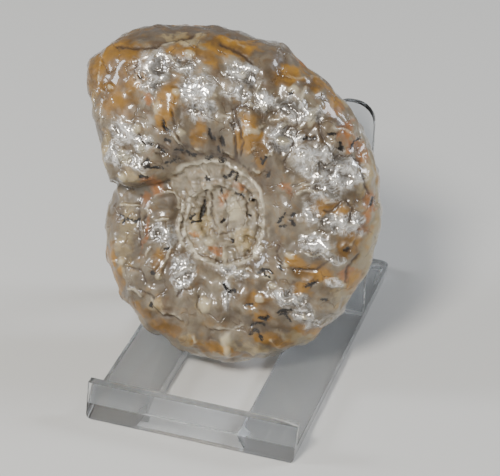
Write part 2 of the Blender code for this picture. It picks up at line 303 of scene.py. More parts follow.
# %% [markdown]
# The marks on the front. Each is a soft-edged patch: where it lies in the stone's plane and its
# half width and half height, all in millimetres. Honey patches are iron stain, crumpled patches
# are where the cast shrank into sharp little folds under the varnish, whose silvery sheen on the
# crests is painted into the colour, and cream patches are bare calcite on the rims. Knobs stand up
# like small pebbles. Raised lines are the seams of the coil and the crests of the folds, pale partly
# from calcite and partly from a painted highlight, and dark strokes are mineral ferns in the cracks.

# %% Where the marks lie
HONEY = ((-24.4, 24.6, 5.0, 5.8), (-21.0, 25.0, 3.4, 4.4), (-22.0, 18.2, 3.4, 2.6),
         (-12.4, 19.8, 1.8, 4.8), (-3.9, 32.4, 4.5, 1.5),
         (-9.9, 29.7, 4.6, 1.4), (8.2, 28.7, 2.7, 1.8), (14.0, 29.4, 2.1, 2.5), (17.6, 25.4, 1.6, 2.3),
         (19.4, -6.2, 3.6, 1.8), (16.2, -4.7, 1.4, 1.2), (9.6, -13.6, 2.3, 1.6), (11.5, -16.5, 1.6, 1.1),
         (-10.1, -10.4, 1.2, 2.1), (25.0, 0.2, 2.0, 2.3), (20.6, 6.5, 3.6, 1.4), (3.1, 17.0, 2.0, 3.6),
         (-7.0, -22.6, 3.2, 1.2), (14.0, -20.9, 2.9, 1.1), (19.8, -17.6, 2.9, 1.2), (-17.6, -15.4, 1.4, 2.5),
         (27.1, -7.0, 1.4, 2.9), (18.6, -9.6, 1.6, 1.1), (-5.8, 16.0, 1.2, 3.2), (6.2, 14.5, 1.3, 2.6),
         (-20.5, -12.8, 1.3, 4.2), (-13.0, -20.4, 3.2, 1.2), (3.0, -24.6, 5.0, 0.9))
RUST = ((12.6, 8.2, 0.8, 1.5), (11.4, 8.8, 1.6, 1.1), (-13.3, 3.9, 1.5, 2.1), (2.9, 6.8, 1.2, 0.8),
        (20.6, 20.6, 1.0, 2.6), (22.4, 18.4, 1.5, 1.4), (27.2, 6.4, 0.9, 4.2), (-13.8, -4.9, 0.5, 3.9),
        (-16.2, 20.5, 1.3, 0.9), (18.4, 26.2, 1.0, 2.0), (-14.8, 1.0, 1.0, 1.2), (25.3, -5.4, 0.8, 1.6),
        (0.2, -6.4, 0.9, 1.0), (-4.6, -3.6, 0.9, 0.7), (0.3, 3.8, 1.0, 1.6), (24.4, 16.8, 0.9, 1.5))
CRUMPLED = ((-17.0, 25.6, 3.6, 3.9), (-7.0, 24.6, 2.7, 2.1), (-6.0, 20.0, 2.7, 2.0), (0.2, 27.8, 3.2, 2.3),
            (0.1, 24.0, 2.3, 1.1), (5.3, 24.0, 2.1, 1.8), (10.1, 23.4, 2.9, 2.1), (13.7, 22.7, 2.5, 1.4),
            (10.4, 17.4, 2.9, 2.3), (17.3, 14.4, 4.3, 3.2), (21.3, 13.4, 3.6, 3.2), (19.3, 9.7, 2.7, 2.5),
            (17.6, 5.1, 1.6, 2.1), (24.8, 3.8, 2.0, 2.5), (19.4, -1.0, 2.9, 2.1), (23.2, -2.5, 1.8, 0.9),
            (22.9, -7.5, 1.6, 1.1), (16.1, -11.8, 3.2, 1.8), (18.8, -14.0, 2.0, 1.8), (20.6, -16.3, 1.8, 1.1),
            (-20.3, 13.4, 2.5, 2.1), (-16.2, 12.0, 2.1, 1.6), (-10.2, -4.8, 2.3, 2.3),
            (-5.1, -11.5, 2.1, 3.6),
            (-10.9, 27.5, 2.0, 1.6), (-17.6, 8.2, 2.5, 1.6), (1.7, 18.4, 1.8, 1.1), (21.2, 3.4, 1.8, 1.4),
            (4.3, -9.0, 3.2, 0.9), (4.0, -13.8, 1.1, 2.9), (-20.8, 8.6, 1.4, 2.1), (-8.8, 23.3, 1.8, 1.8))
CREAM = ((-17.7, -6.3, 1.8, 6.1), (-17.4, -11.5, 1.4, 2.5), (0.2, -16.3, 1.2, 1.8), (5.4, -23.7, 1.1, 2.1),
         (25.9, 14.3, 1.2, 6.1), (26.0, -8.6, 2.1, 2.9), (-1.2, -24.5, 2.5, 1.1), (10.1, -23.1, 4.6, 1.1),
         (-17.3, 5.2, 2.5, 1.2), (-26.9, 20.3, 0.9, 3.9), (-11.2, 32.0, 6.4, 0.9), (-9.6, -18.9, 1.6, 1.4),
         (-23.2, 9.0, 1.1, 3.9), (18.3, -19.8, 3.6, 1.4), (-18.6, 28.7, 1.8, 1.1), (-3.9, -1.9, 2.5, 2.5),
         (5.2, -3.0, 2.1, 2.5))
KNOBS = ((0.4, -16.4, 1.1, 1.4), (5.3, -22.4, 0.9, 1.4), (5.7, -24.4, 0.6, 1.2), (10.5, -13.0, 0.9, 0.8),
         (11.3, -8.6, 1.0, 0.6), (12.6, -10.2, 0.8, 0.6), (14.9, -3.8, 1.0, 0.6), (14.5, -5.6, 0.6, 0.5),
         (-9.6, -12.9, 0.6, 0.7), (19.2, -15.0, 0.5, 0.5), (-14.1, 18.9, 0.6, 1.3), (-24.1, 21.0, 0.5, 0.5),
         (-9.0, 15.3, 0.8, 0.6), (-11.2, 22.4, 0.7, 0.6), (-10.3, 29.8, 1.0, 0.7), (-18.7, 8.4, 1.2, 1.2),
         (-18.6, 4.8, 0.8, 0.8), (-17.4, 14.4, 0.7, 0.9), (-15.9, 11.1, 0.9, 1.0), (0.2, 27.9, 0.7, 0.7),
         (9.9, 26.6, 0.9, 0.7), (14.2, 22.2, 0.8, 1.6), (4.1, 18.0, 1.4, 0.6), (10.0, 17.2, 1.3, 0.8),
         (2.5, 2.2, 1.5, 2.1), (1.9, -6.9, 0.6, 0.9), (8.2, -4.9, 0.6, 1.0), (-19.4, 9.0, 1.1, 1.0),
         (-1.4, -4.9, 1.0, 0.6), (-17.4, -11.7, 0.6, 0.5))
SEAM_LINES = (((-9.7, 7.2), (-9.2, 8.4), (-7.6, 9.5), (-5.3, 10.5), (-3.0, 11.1), (-0.5, 10.9), (1.6, 10.1),
    (3.6, 9.3), (5.6, 8.2), (7.3, 6.7), (8.2, 5.0), (8.2, 2.3), (8.4, -0.1), (8.3, -2.5), (8.4, -4.6),
    (7.3, -6.2), (5.1, -7.7), (2.3, -8.8), (0.6, -8.9), (-1.5, -8.4), (-3.3, -8.0), (-5.0, -7.1),
    (-6.6, -6.0), (-7.8, -4.2), (-7.9, -2.3), (-7.6, -0.1), (-7.5, 1.9)), ((-2.0, -8.4), (-4.2, -6.9),
    (-5.8, -5.3), (-6.9, -3.6), (-6.8, -1.1), (-6.4, 0.9), (-6.3, 3.1), (-5.4, 4.5), (-4.1, 5.3),
    (-2.5, 5.9)), ((9.1, -3.7), (8.4, -5.3), (7.5, -6.0)))
FOLD_LINES = (((-1.1, 4.8), (-0.1, 3.6), (0.9, 1.8), (1.6, 0.1), (1.3, -1.2)), ((-5.2, 9.8), (-4.3, 8.5),
    (-3.0, 7.4)), ((-14.3, -0.9), (-14.0, 0.4), (-13.0, 1.9), (-11.5, 3.0), (-9.6, 3.4), (-8.6, 2.9),
    (-8.4, 1.7), (-8.4, 0.5)), ((-14.0, -1.2), (-13.4, -2.2), (-12.2, -2.7), (-10.1, -1.9)), ((0.8, -9.3),
    (3.0, -9.4), (5.3, -8.7), (7.6, -7.8)), ((3.4, -10.3), (5.4, -9.2)), ((-19.7, -1.2), (-16.1, -0.5)),
    ((9.6, -1.7), (9.7, 0.5)), ((-13.1, -10.9), (-12.7, -8.8), (-12.3, -8.0)), ((-9.5, -13.2), (-8.8, -9.5),
    (-8.2, -7.7)), ((-6.5, -8.6), (-5.8, -10.1)), ((4.2, 2.5), (5.0, 0.7), (4.6, -0.8), (3.0, -1.6)),
    ((1.5, 3.9), (2.9, 4.6), (4.1, 3.4)), ((-10.7, 7.0), (-9.6, 7.7), (-7.9, 8.1)), ((-2.7, 3.1),
    (-2.7, 1.1), (-2.8, -0.8), (-1.8, -2.1)), ((4.9, -2.7), (4.0, -4.8), (5.3, -5.0)), ((-19.4, 25.7),
    (-19.7, 24.2), (-18.9, 23.2), (-19.7, 21.6), (-20.3, 20.7)), ((-18.4, 25.6), (-17.2, 25.5),
    (-16.3, 24.6)), ((-11.6, 15.7), (-10.6, 14.7), (-9.2, 13.6), (-8.4, 13.0)), ((-9.9, 24.4), (-8.8, 25.3),
    (-6.7, 25.9), (-5.6, 25.4)), ((-6.9, 20.2), (-6.2, 21.5), (-4.9, 22.7), (-3.9, 23.2)), ((-5.5, 19.5),
    (-4.4, 18.5), (-2.6, 19.1)), ((-1.9, 23.8), (-0.8, 22.8), (0.9, 22.9), (1.7, 23.7)), ((-16.5, 30.2),
    (-15.4, 30.7), (-14.2, 31.2)), ((-15.6, 29.0), (-13.5, 28.5), (-11.8, 26.9)), ((-27.4, 27.6),
    (-27.6, 25.1), (-26.6, 21.2), (-24.7, 18.7), (-25.1, 16.2), (-24.1, 13.3), (-22.9, 10.9)),
    ((-0.3, 13.1), (0.7, 12.8)), ((-6.1, 12.5), (-5.1, 13.0)), ((-15.3, 20.0), (-14.1, 18.9),
    (-13.1, 17.8)), ((-17.3, 7.2), (-15.7, 6.8), (-14.4, 6.3)), ((5.0, 33.7), (6.3, 34.5), (7.8, 34.0),
    (9.0, 33.3)), ((7.2, 29.2), (8.7, 28.8), (10.2, 28.6), (12.0, 29.4), (13.0, 29.1)), ((11.7, 23.2),
    (11.8, 25.1), (11.9, 27.5)), ((12.0, 19.6), (13.1, 20.4), (14.2, 22.7), (15.0, 24.5)), ((17.6, 22.4),
    (18.8, 20.7), (20.2, 21.2), (21.8, 20.1), (23.2, 19.2)), ((5.1, 23.2), (6.4, 24.1), (7.5, 24.8),
    (6.8, 23.2), (5.4, 22.8)), ((2.8, 23.2), (3.4, 24.9), (3.9, 26.7)), ((7.0, 20.5), (8.9, 21.1),
    (10.2, 21.5), (10.8, 22.8)), ((8.4, 16.9), (10.1, 17.0), (11.4, 17.5), (12.3, 18.1)), ((2.8, 16.9),
    (4.0, 18.2), (6.0, 19.3)), ((3.8, 13.9), (5.1, 15.1)), ((7.2, 13.9), (8.4, 14.3), (8.4, 15.3)),
    ((5.1, 10.8), (6.4, 10.4)), ((7.6, 10.4), (8.2, 9.5)), ((13.6, 14.8), (14.7, 15.6)), ((16.0, 14.6),
    (17.5, 13.5), (19.6, 14.0), (21.8, 14.7)), ((14.2, 9.9), (17.1, 10.1), (18.9, 9.2)), ((14.5, 8.1),
    (15.8, 9.0), (18.3, 8.9), (19.6, 7.9)), ((-3.0, 19.3), (-1.6, 19.7), (-0.3, 19.5)), ((-0.2, 21.9),
    (1.3, 22.6), (4.5, 22.7), (6.3, 22.1)), ((8.7, 19.2), (10.2, 20.5), (11.7, 20.3), (12.4, 19.6)),
    ((-5.6, 33.5), (-4.3, 33.0), (-3.2, 33.3), (-1.9, 32.7), (0.1, 32.6)), ((24.3, 17.1), (24.8, 15.3),
    (24.9, 13.6)), ((19.2, 18.5), (18.7, 19.1)), ((-10.3, -12.7), (-9.2, -11.2), (-8.4, -8.1)),
    ((-10.1, -17.6), (-9.2, -19.3), (-7.7, -19.8), (-5.5, -19.5), (-3.0, -20.3)), ((-5.9, -11.2),
    (-3.7, -10.6)), ((-5.4, -10.4), (-3.1, -10.0)), ((24.3, 2.8), (24.3, 3.8), (25.9, 4.4), (26.8, 3.3),
    (26.7, 2.0)), ((17.7, -2.7), (19.4, -3.2), (22.2, -0.8)), ((13.3, -12.6), (15.6, -12.4), (16.7, -11.7),
    (18.2, -12.7)), ((4.0, -13.4), (4.3, -15.9)), ((-1.5, -25.0), (-0.8, -23.8), (-1.2, -23.0)),
    ((13.5, -20.6), (14.6, -22.3), (15.0, -21.6)), ((25.4, 0.2), (25.8, 1.5)), ((-19.4, -12.0),
    (-17.3, -12.2)), ((18.8, 7.9), (19.8, 7.3), (21.7, 7.8)), ((3.2, -20.3), (6.4, -19.8), (8.2, -18.5)),
    ((-15.6, -16.7), (-14.0, -16.4), (-12.5, -17.4)))
DARK_STROKES = (((-15.6, 12.1), (-13.9, 11.9), (-12.9, 11.9), (-11.8, 11.2)), ((-9.4, 11.8), (-7.9, 11.7),
    (-5.9, 11.3)), ((-3.9, 16.7), (-3.4, 15.4), (-2.6, 15.1)), ((-1.4, 15.8), (-1.0, 14.2)), ((-1.9, 13.8),
    (-1.6, 12.6)), ((-0.9, 12.7), (0.0, 12.5)), ((-3.9, 11.3), (-0.5, 11.2)), ((-15.2, 8.1), (-14.4, 9.2),
    (-14.0, 8.3)), ((-14.4, 7.6), (-13.2, 7.8), (-11.7, 8.0)), ((-11.0, 8.8), (-10.2, 9.4), (-9.1, 10.2)),
    ((-15.3, 5.7), (-14.1, 5.9)), ((-0.1, 8.0), (1.3, 9.5)), ((1.8, 9.2), (2.4, 8.9)), ((-3.7, 7.0),
    (-3.1, 7.3)), ((-12.7, 16.7), (-12.3, 15.6), (-11.0, 15.1)), ((-11.4, 13.4), (-10.6, 13.2)),
    ((-19.1, 25.0), (-18.8, 24.1), (-18.1, 23.8)), ((9.3, 25.9), (9.9, 26.2)), ((13.3, 18.1), (14.2, 18.5),
    (14.9, 18.4), (15.6, 18.7)), ((6.4, 13.0), (7.2, 12.9)), ((6.8, 12.3), (7.3, 13.6)), ((-1.5, 15.3),
    (-1.0, 14.2)), ((-0.2, 8.1), (1.5, 9.2)), ((7.9, 9.9), (8.3, 10.7)), ((2.0, 9.0), (1.8, 8.0)),
    ((19.9, 17.6), (20.9, 17.4), (20.2, 18.6)), ((22.2, 17.8), (22.3, 19.0), (22.9, 19.6)), ((18.0, 19.8),
    (19.4, 20.1)), ((-3.8, 2.4), (-3.8, 0.9), (-4.3, -0.9)), ((-5.4, -1.7), (-4.2, -1.3)), ((-5.9, -1.4),
    (-5.2, -0.1)), ((4.8, 4.8), (5.8, 4.7)), ((2.3, 5.5), (3.8, 5.3)), ((-0.1, 7.9), (1.0, 9.3)),
    ((2.0, 9.3), (2.3, 8.8)), ((-3.7, 7.2), (-3.1, 7.1)), ((0.1, -0.6), (0.5, -0.2)), ((2.5, -3.6),
    (3.2, -3.6)), ((5.4, 1.8), (5.7, 1.7)), ((-19.5, -3.1), (-18.7, -3.2), (-18.4, -4.2)), ((-17.8, -3.5),
    (-17.0, -3.6)), ((-16.3, -3.7), (-15.6, -3.3)), ((-9.2, -7.6), (-8.6, -7.3)), ((9.4, -8.3),
    (10.9, -7.2), (12.0, -7.7)), ((-14.8, 7.9), (-14.5, 9.0)), ((-11.1, -12.4), (-10.5, -12.8)),
    ((-0.7, 5.4), (-0.4, 4.7)), ((11.4, 1.9), (12.2, 3.1), (12.4, 3.7)), ((11.9, 1.1), (13.1, 1.5)),
    ((14.0, 2.8), (15.0, 1.9)), ((13.6, 3.6), (14.3, 4.1)), ((9.3, -8.4), (10.1, -7.3), (11.4, -7.3)),
    ((10.7, -8.5), (11.7, -8.6)), ((13.2, -6.3), (13.9, -6.8)), ((3.0, -11.6), (3.8, -12.4), (4.5, -12.6)),
    ((4.4, -13.0), (5.5, -12.4)), ((18.5, -9.1), (19.4, -8.6), (20.6, -7.7)), ((8.1, -14.6), (9.4, -14.5)),
    ((14.4, -14.8), (15.2, -14.3), (16.6, -14.3)), ((15.8, -15.4), (16.9, -16.5)), ((14.8, -15.3),
    (16.0, -14.8)), ((11.1, -16.7), (12.4, -16.8), (12.6, -16.1)), ((9.8, -18.6), (10.7, -17.8),
    (12.0, -17.9)), ((9.8, -20.2), (10.6, -19.1), (11.3, -19.6)), ((11.7, -20.2), (12.0, -20.9)),
    ((27.5, 7.9), (27.6, 9.2)), ((24.7, -1.1), (25.2, -0.5)), ((-11.0, -12.2), (-10.3, -12.4)),
    ((-10.3, -18.3), (-10.5, -19.1)), ((21.9, -11.1), (22.6, -11.1)))
CRACKS = (((-11.1, 18.9), (-10.3, 16.2), (-8.6, 13.1), (-5.7, 12.3)), ((1.7, 11.8), (1.4, 14.6),
    (0.7, 17.4), (0.1, 19.5)), ((-18.3, 15.6), (-16.9, 13.6), (-15.5, 12.2), (-12.6, 12.3), (-10.8, 11.3)),
    ((-13.2, 10.5), (-10.3, 10.9), (-7.5, 11.6), (-4.6, 11.6), (-1.3, 12.0), (1.9, 11.7), (4.9, 10.2)),
    ((-12.8, 17.0), (-12.3, 15.6), (-10.9, 14.9), (-9.2, 13.3), (-8.0, 12.3)), ((0.0, 21.3), (0.8, 22.1),
    (2.3, 22.8)), ((-25.1, 28.4), (-21.0, 29.0), (-17.2, 29.8), (-16.1, 30.6), (-14.2, 31.4),
    (-10.6, 33.1)), ((0.4, 20.2), (1.7, 18.3), (2.3, 16.0)), ((-19.8, 26.6), (-20.0, 24.9), (-19.3, 23.1)),
    ((-0.2, 21.0), (0.4, 19.7), (1.9, 17.8), (2.7, 15.4), (2.5, 12.9)), ((6.0, 22.2), (7.3, 22.0),
    (8.8, 22.9)), ((13.4, 9.3), (15.6, 10.4), (18.1, 9.7), (19.4, 9.1)), ((24.1, 15.6), (25.3, 12.5),
    (26.8, 10.0)), ((12.5, 19.5), (11.9, 17.6), (11.8, 15.7), (10.8, 13.6), (11.5, 11.8)), ((15.8, 21.6),
    (16.9, 19.2), (19.1, 16.5), (20.0, 15.8)), ((-0.2, 21.7), (1.4, 22.2), (4.5, 22.4), (6.4, 21.9)),
    ((8.8, 18.9), (10.2, 20.2), (11.7, 19.9), (12.6, 19.3)), ((-5.5, 32.5), (-3.9, 31.9), (-2.2, 31.7),
    (-0.4, 31.3), (1.3, 30.0)), ((9.6, 23.7), (11.7, 22.7), (11.9, 20.4)), ((20.1, 16.3), (22.5, 16.5),
    (23.8, 15.6)), ((0.2, 3.9), (0.8, 1.8), (1.4, 0.0), (1.0, -1.5)), ((-7.4, 2.9), (-7.5, 0.7),
    (-7.4, -1.7), (-7.2, -4.1), (-5.6, -6.0)), ((-3.5, 4.8), (-3.9, 2.8), (-3.6, 1.0), (-4.2, -1.1)),
    ((3.5, 5.5), (4.7, 4.0), (5.1, 1.7), (4.5, -0.6)), ((-2.1, -2.1), (-0.4, -3.3), (1.5, -2.6),
    (3.0, -1.4)), ((-3.9, -7.4), (-1.4, -7.6), (1.1, -7.8), (3.5, -7.3), (5.7, -5.9), (7.0, -3.5),
    (7.3, -0.8), (7.0, 2.1), (6.1, 4.6), (4.5, 6.4), (2.3, 7.9)), ((-2.5, 4.6), (-2.3, 2.2), (-2.3, 0.3),
    (-1.2, -1.5)), ((-14.1, -1.6), (-14.6, -3.4), (-13.5, -5.6), (-12.3, -3.7)), ((-15.9, 1.4),
    (-15.9, -1.2), (-15.2, -4.5), (-14.1, -7.9)), ((-1.0, -15.0), (-1.0, -17.0), (0.1, -18.2)),
    ((-13.0, -16.2), (-9.9, -16.9), (-9.9, -18.8), (-8.0, -20.4), (-5.4, -20.0), (-3.3, -20.7)),
    ((2.0, -21.1), (5.8, -19.9), (8.2, -18.6)), ((16.1, -6.2), (20.2, -5.7), (22.6, -2.7)), ((19.8, 5.7),
    (21.1, 5.6), (22.5, 7.8)), ((24.6, 4.8), (24.6, 7.0), (23.3, 8.3)), ((13.7, -5.6), (12.3, -4.6),
    (12.2, -2.4)), ((-15.9, -12.6), (-13.3, -12.4), (-11.8, -14.6)), ((-2.4, -14.0), (-4.4, -14.1),
    (-5.4, -15.9)), ((27.0, -1.7), (25.5, -4.3), (25.4, -7.2)))
STROKE_WIDTH = 0.37
CRACK_WIDTH = 0.26
SEAM_WIDTH = 0.34
FOLD_WIDTH = 0.30


def noise_field(places, size, seed):
    """Smooth noise from -1 to 1, with lumps about that many millimetres across."""
    return np.array([noise.noise(Vector(place)) for place in places / size + seed]) * 1.6


def patches(x, y, spots, crispness=2.0):
    """Strength from 0 to 1: one inside a patch, falling round its edge, faster if crisper."""
    strength = np.zeros_like(x)
    for centre_x, centre_y, wide, high in spots:
        reach = ((x - centre_x) / wide) ** 2 + ((y - centre_y) / high) ** 2
        strength = np.maximum(strength, np.exp(-reach ** crispness * 0.7))
    return strength


def along(x, y, lines, width):
    """Strength from 0 to 1: one on a line drawn through its points, falling off over that width."""
    strength = np.zeros_like(x)
    for line in lines:
        corners = np.array(line)
        low, high = corners.min(0) - 3 * width, corners.max(0) + 3 * width
        near = np.flatnonzero((x > low[0]) & (x < high[0]) & (y > low[1]) & (y < high[1]))
        away = np.full(len(near), 9.0)
        for (ax, ay), (bx, by) in zip(line, line[1:]):
            dx, dy = bx - ax, by - ay
            share = np.clip(((x[near] - ax) * dx + (y[near] - ay) * dy) / (dx * dx + dy * dy + 1e-9), 0, 1)
            away = np.minimum(away, np.hypot(x[near] - ax - share * dx, y[near] - ay - share * dy))
        strength[near] = np.maximum(strength[near], bell(away, width))
    return strength


# %% [markdown]
# The stone itself starts as a sphere, as a ball of clay would. Its rings of points are laid over
# the front, the rim and the back of the coil, close enough together to carry folds a millimetre
# across. Then every point is pushed along its own normal by the fine relief: soft lumps all over,
# sharp folds in the crumpled patches, crumbs in the umbilicus and grooves under the dark strokes.

# %% Lay a sphere over the coil
SEGMENTS = 640
FRONT_ROWS = 100
BACK_ROWS = 50
INNER_SHARE = 0.3
RIM_FADE = 3.0
LEAST_HEIGHT = 0.4

deselect_all()
rings = FRONT_ROWS + BACK_ROWS
bpy.ops.mesh.primitive_uv_sphere_add(segments=SEGMENTS, ring_count=rings, radius=1.0, location=(0, 0, 0))
fossil = bpy.context.object
fossil.name = "ammonite_stone"
points = np.empty(len(fossil.data.vertices) * 3)
fossil.data.vertices.foreach_get("co", points)
points = points.reshape(-1, 3)
row = np.rint((0.5 - np.arcsin(np.clip(points[:, 2], -1, 1)) / math.pi) * rings)
front = row < FRONT_ROWS
from_pole = np.where(front, row / FRONT_ROWS, (rings - row) / BACK_ROWS)
angle = np.degrees(np.arctan2(points[:, 1], points[:, 0])) % 360.0
outline = outline_radius(angle)
seam = seam_radius(angle)
share_out = np.clip((from_pole - INNER_SHARE) / (1 - INNER_SHARE), 0, 1)
radius = np.where(from_pole <= INNER_SHARE, seam * from_pole / INNER_SHARE,
                  seam + (outline - seam) * np.sin(math.pi / 2 * share_out))
x = radius * np.cos(np.radians(angle))
y = radius * np.sin(np.radians(angle))


def broad_lumps(x, y, front):
    """Lumps of two sizes over the whole stone, in millimetres, other ones on the back."""
    side = np.where(front, 0.0, 40.0)
    total = np.zeros_like(x)
    for tall, often, shift in ((0.55, 0.16, 0.0), (0.38, 0.38, 7.0)):
        spots = np.stack([x * often, y * often, side + shift], 1)
        total += tall * np.array([noise.noise(Vector(spot)) for spot in spots])
    return total


rim_fade = np.clip((outline - radius) / RIM_FADE, 0.0, 1.0)
height = surface_height(angle, radius, outline, front) + broad_lumps(x, y, front) * rim_fade
height = np.where(from_pole > 0.9999, 0.0, np.maximum(height, LEAST_HEIGHT))
points = np.stack([x, y, np.where(front, height, -height)], 1) * MM
fossil.data.vertices.foreach_set("co", points.ravel())
fossil.data.update()
print("stone laid out, thickest", round(float(height.max()) * 2, 1), "mm")

# %% [markdown]
# Each mark becomes a mask: a number from 0 to 1 at every point of the stone. The listed
# marks hold on the front and fade out over the shoulder. Past it, on the rim and the back, noise
# in three dimensions lays out the same stains, so that nothing is drawn out into streaks.

# %% Masks for the marks
SHOULDER_EDGE, SHOULDER_BLEND = 0.02, 0.28
TOP_OF_RIM, TOP_SPREAD = 110.0, 34.0
RIGHT_OF_RIM, RIGHT_SPREAD = 5.0, 36.0
places = np.stack([x, y, np.where(front, height, -height)], 1)
shoulder = height / half_thickness(on_coil(angle))
facing = np.where(front, ease((shoulder - SHOULDER_EDGE) / SHOULDER_BLEND), 0.0)
stain = 0.8 * noise_field(places, 9.0, 61.0) + 0.5 * noise_field(places, 3.2, 63.0)
bare = 0.7 * noise_field(places, 6.0, 71.0) + 0.5 * noise_field(places, 2.4, 73.0)


def wavy(seed):
    """A shift in millimetres that makes the patches' edges wander."""
    return 0.7 * noise_field(places, 2.2, seed) + 0.35 * noise_field(places, 0.9, seed + 2.0)


warp_x, warp_y = x + wavy(3.0), y + wavy(13.0)


def marked(spots, elsewhere, crispness=2.0):
    """The placed patches on the front, and patches that noise lays out on the rim and the back."""
    return facing * patches(warp_x, warp_y, spots, crispness) + (1 - facing) * elsewhere


honey = marked(HONEY, 0.8 * ease((stain - 0.05) * 2.2))
rust = marked(RUST, ease((stain - 0.5) * 3))
crumpled = marked(CRUMPLED, 0.35 * ease((-stain - 0.25) * 3), 4.0) * (1 - 0.75 * honey)
cream = marked(CREAM, ease((bare - 0.3) * 3))
ripple_x = x + 0.16 * noise_field(places, 0.8, 7.0)
ripple_y = y + 0.16 * noise_field(places, 0.8, 17.0)
uneven = 0.65 + 0.55 * noise_field(places, 1.6, 29.0)
seam_line, fold_line, crack, stroke = [
    facing * along(ripple_x, ripple_y, lines, width)
    for lines, width in ((SEAM_LINES, SEAM_WIDTH), (FOLD_LINES, FOLD_WIDTH), (CRACKS, CRACK_WIDTH),
                         (DARK_STROKES, STROKE_WIDTH))]
seam_line *= np.clip(uneven + 0.3, 0.4, 1)
fold_line *= np.clip(uneven, 0, 1)
knob = facing * patches(ripple_x, ripple_y, KNOBS, 1.3)
crumb = ease((seam - radius + 0.5) / 0.8)
rim = ease(1.35 - (outline - radius) / 2.6)
top_band = rim * bell((angle - TOP_OF_RIM + 180) % 360 - 180, TOP_SPREAD)
right_band = rim * bell((angle - RIGHT_OF_RIM + 180) % 360 - 180, RIGHT_SPREAD)
print("silver covers", round(float(crumpled[front].mean()) * 100), "percent of the front's points")

# %% [markdown]
# The fine relief is height added along each point's normal. Sharp folds are where a noise passes
# through nought, turned into a ridge; lobes are a noise pressed flat at its top and bottom.
# Hollows keep their own mask, which darkens the colour there as painted shade.

# %% Relief finer than the solid's
sway = np.stack([noise_field(places, 1.8, 23.0), noise_field(places, 1.8, 27.0), 0 * x], 1)
swayed = places + 0.5 * sway
sharp_folds = 1 - 2.4 * np.abs(noise_field(swayed, 3.1, 21.0))
small_folds = 1 - 2.4 * np.abs(noise_field(swayed, 1.9, 31.0))
lobes = np.tanh(2.6 * noise_field(swayed, 4.2, 41.0))
dents = np.tanh(3.0 * noise_field(swayed, 2.4, 43.0))
crumbs = noise_field(places, 1.1, 51.0)
crisp = np.sign(sharp_folds) * np.abs(sharp_folds) ** 0.7
calm = 1 - 0.75 * honey
loose = crumb * (1 - knob)
# Each part of the relief: its height in millimetres, its form, and where it holds.
RELIEF = ((0.20, lobes, calm), (0.09, dents, calm), (0.08, dents, rim),
          (0.40, crisp, crumpled), (0.12, small_folds, crumpled),
          (0.32, crumbs, loose), (0.20, small_folds, loose), (0.10, cream, 1),
          (-0.22, stroke, 1), (-0.34, crack, 1),
          (0.60, seam_line, 1), (0.42, fold_line, 1), (0.55, knob, 1))
relief = sum(tall * form * where for tall, form, where in RELIEF)
# Where the relief sinks, this mask later darkens the colour as painted shade.
cavity_shade = np.clip(0.5 - relief * 1.6, 0, 1) * np.clip(rim_fade * 1.6, 0, 1)
normals = np.empty(len(fossil.data.vertices) * 3)
fossil.data.vertex_normals.foreach_get("vector", normals)
points += normals.reshape(-1, 3) * (relief * MM)[:, None]
fossil.data.vertices.foreach_set("co", points.ravel())
# Among the masks, the one for the hollows is painted shade, and the fold mask sets the painted sheen on the
# crests.
masks = {"honey": honey, "rust": rust, "crumpled": crumpled, "cream": cream, "stroke": stroke,
         "crumb": crumb, "seam_line": seam_line, "fold_line": fold_line,
         "cavity_shade": cavity_shade * (1 - 0.45 * crumb), "crack": crack, "knob": knob,
         "top_band": top_band, "right_band": right_band, "fold": np.clip(small_folds, 0, 1)}
for name, mask in masks.items():
    layer = fossil.data.attributes.new(name, "FLOAT", "POINT")
    layer.data.foreach_set("value", mask.astype(np.float32))
fossil.data.update()
print("relief from", round(float(relief.min()), 2), "to", round(float(relief.max()), 2), "mm")

# %% [markdown]
# The stone was laid out flat. It is turned up on its rim, leant back by 20 degrees as the stand
# holds it, and moved to its place, which is then written into the mesh.

# %% Stand the stone up and lean it back
deselect_all()
fossil.select_set(True)
bpy.context.view_layer.objects.active = fossil
bpy.ops.object.shade_smooth()
fossil.rotation_euler = (math.pi / 2 - FOSSIL_LEAN, 0.0, 0.0)
fossil.location = CORNER + Vector(COIL_CENTRE) * MM
finish_piece(fossil, "ammonite_fossil")

# %% [markdown]
# The stone's finish is calcite and hardened lime mud under a coat of varnish. The stone scatters
# light a little way in, so its greys look soft. Its colours could be painted, but a set of noises
# at the sizes of the real lumps and stains, laid on in turn, gives the same drift from any side.
# First come the places, the masks from the mesh and the noises.

# %% Patterns for the calcite
calcite, shader = new_material("varnished calcite")
place = add_node(calcite, "ShaderNodeTexCoord").outputs["Object"]
mask_of = {}
for name in masks:
    mask_of[name] = add_node(calcite, "ShaderNodeAttribute", {"attribute_name": name}).outputs["Fac"]

# Each noise: the size of its lumps in millimetres, its detail and its distortion.
NOISES = {"drift": (5.0, 4.0, 0.6), "fleck": (1.6, 5.0, 1.0), "brown": (3.5, 4.0, 1.5),
          "tone": (4.5, 3.0, 0.0), "cream": (0.9, 4.0, 0.0), "honey": (1.6, 4.0, 0.0),
          "rust": (1.0, 4.0, 0.0), "stroke": (0.7, 4.0, 1.0), "painted_glint": (2.3, 2.0, 1.6),
          "bend": (2.5, 2.0, 0.0), "crease": (4.0, 2.0, 0.0), "wrinkle": (2.4, 0.0, 1.6),
          "ripple": (2.6, 1.5, 0.4)}
noises = {}
for name, (size_mm, detail, distortion) in NOISES.items():
    inputs = {"Scale": 1 / (size_mm * MM), "Detail": detail, "Distortion": distortion, "Roughness": 0.6}
    noises[name] = add_node(calcite, "ShaderNodeTexNoise", None, {**inputs, "Vector": place})
print("calcite reads", len(mask_of), "masks and", len(noises), "noises")
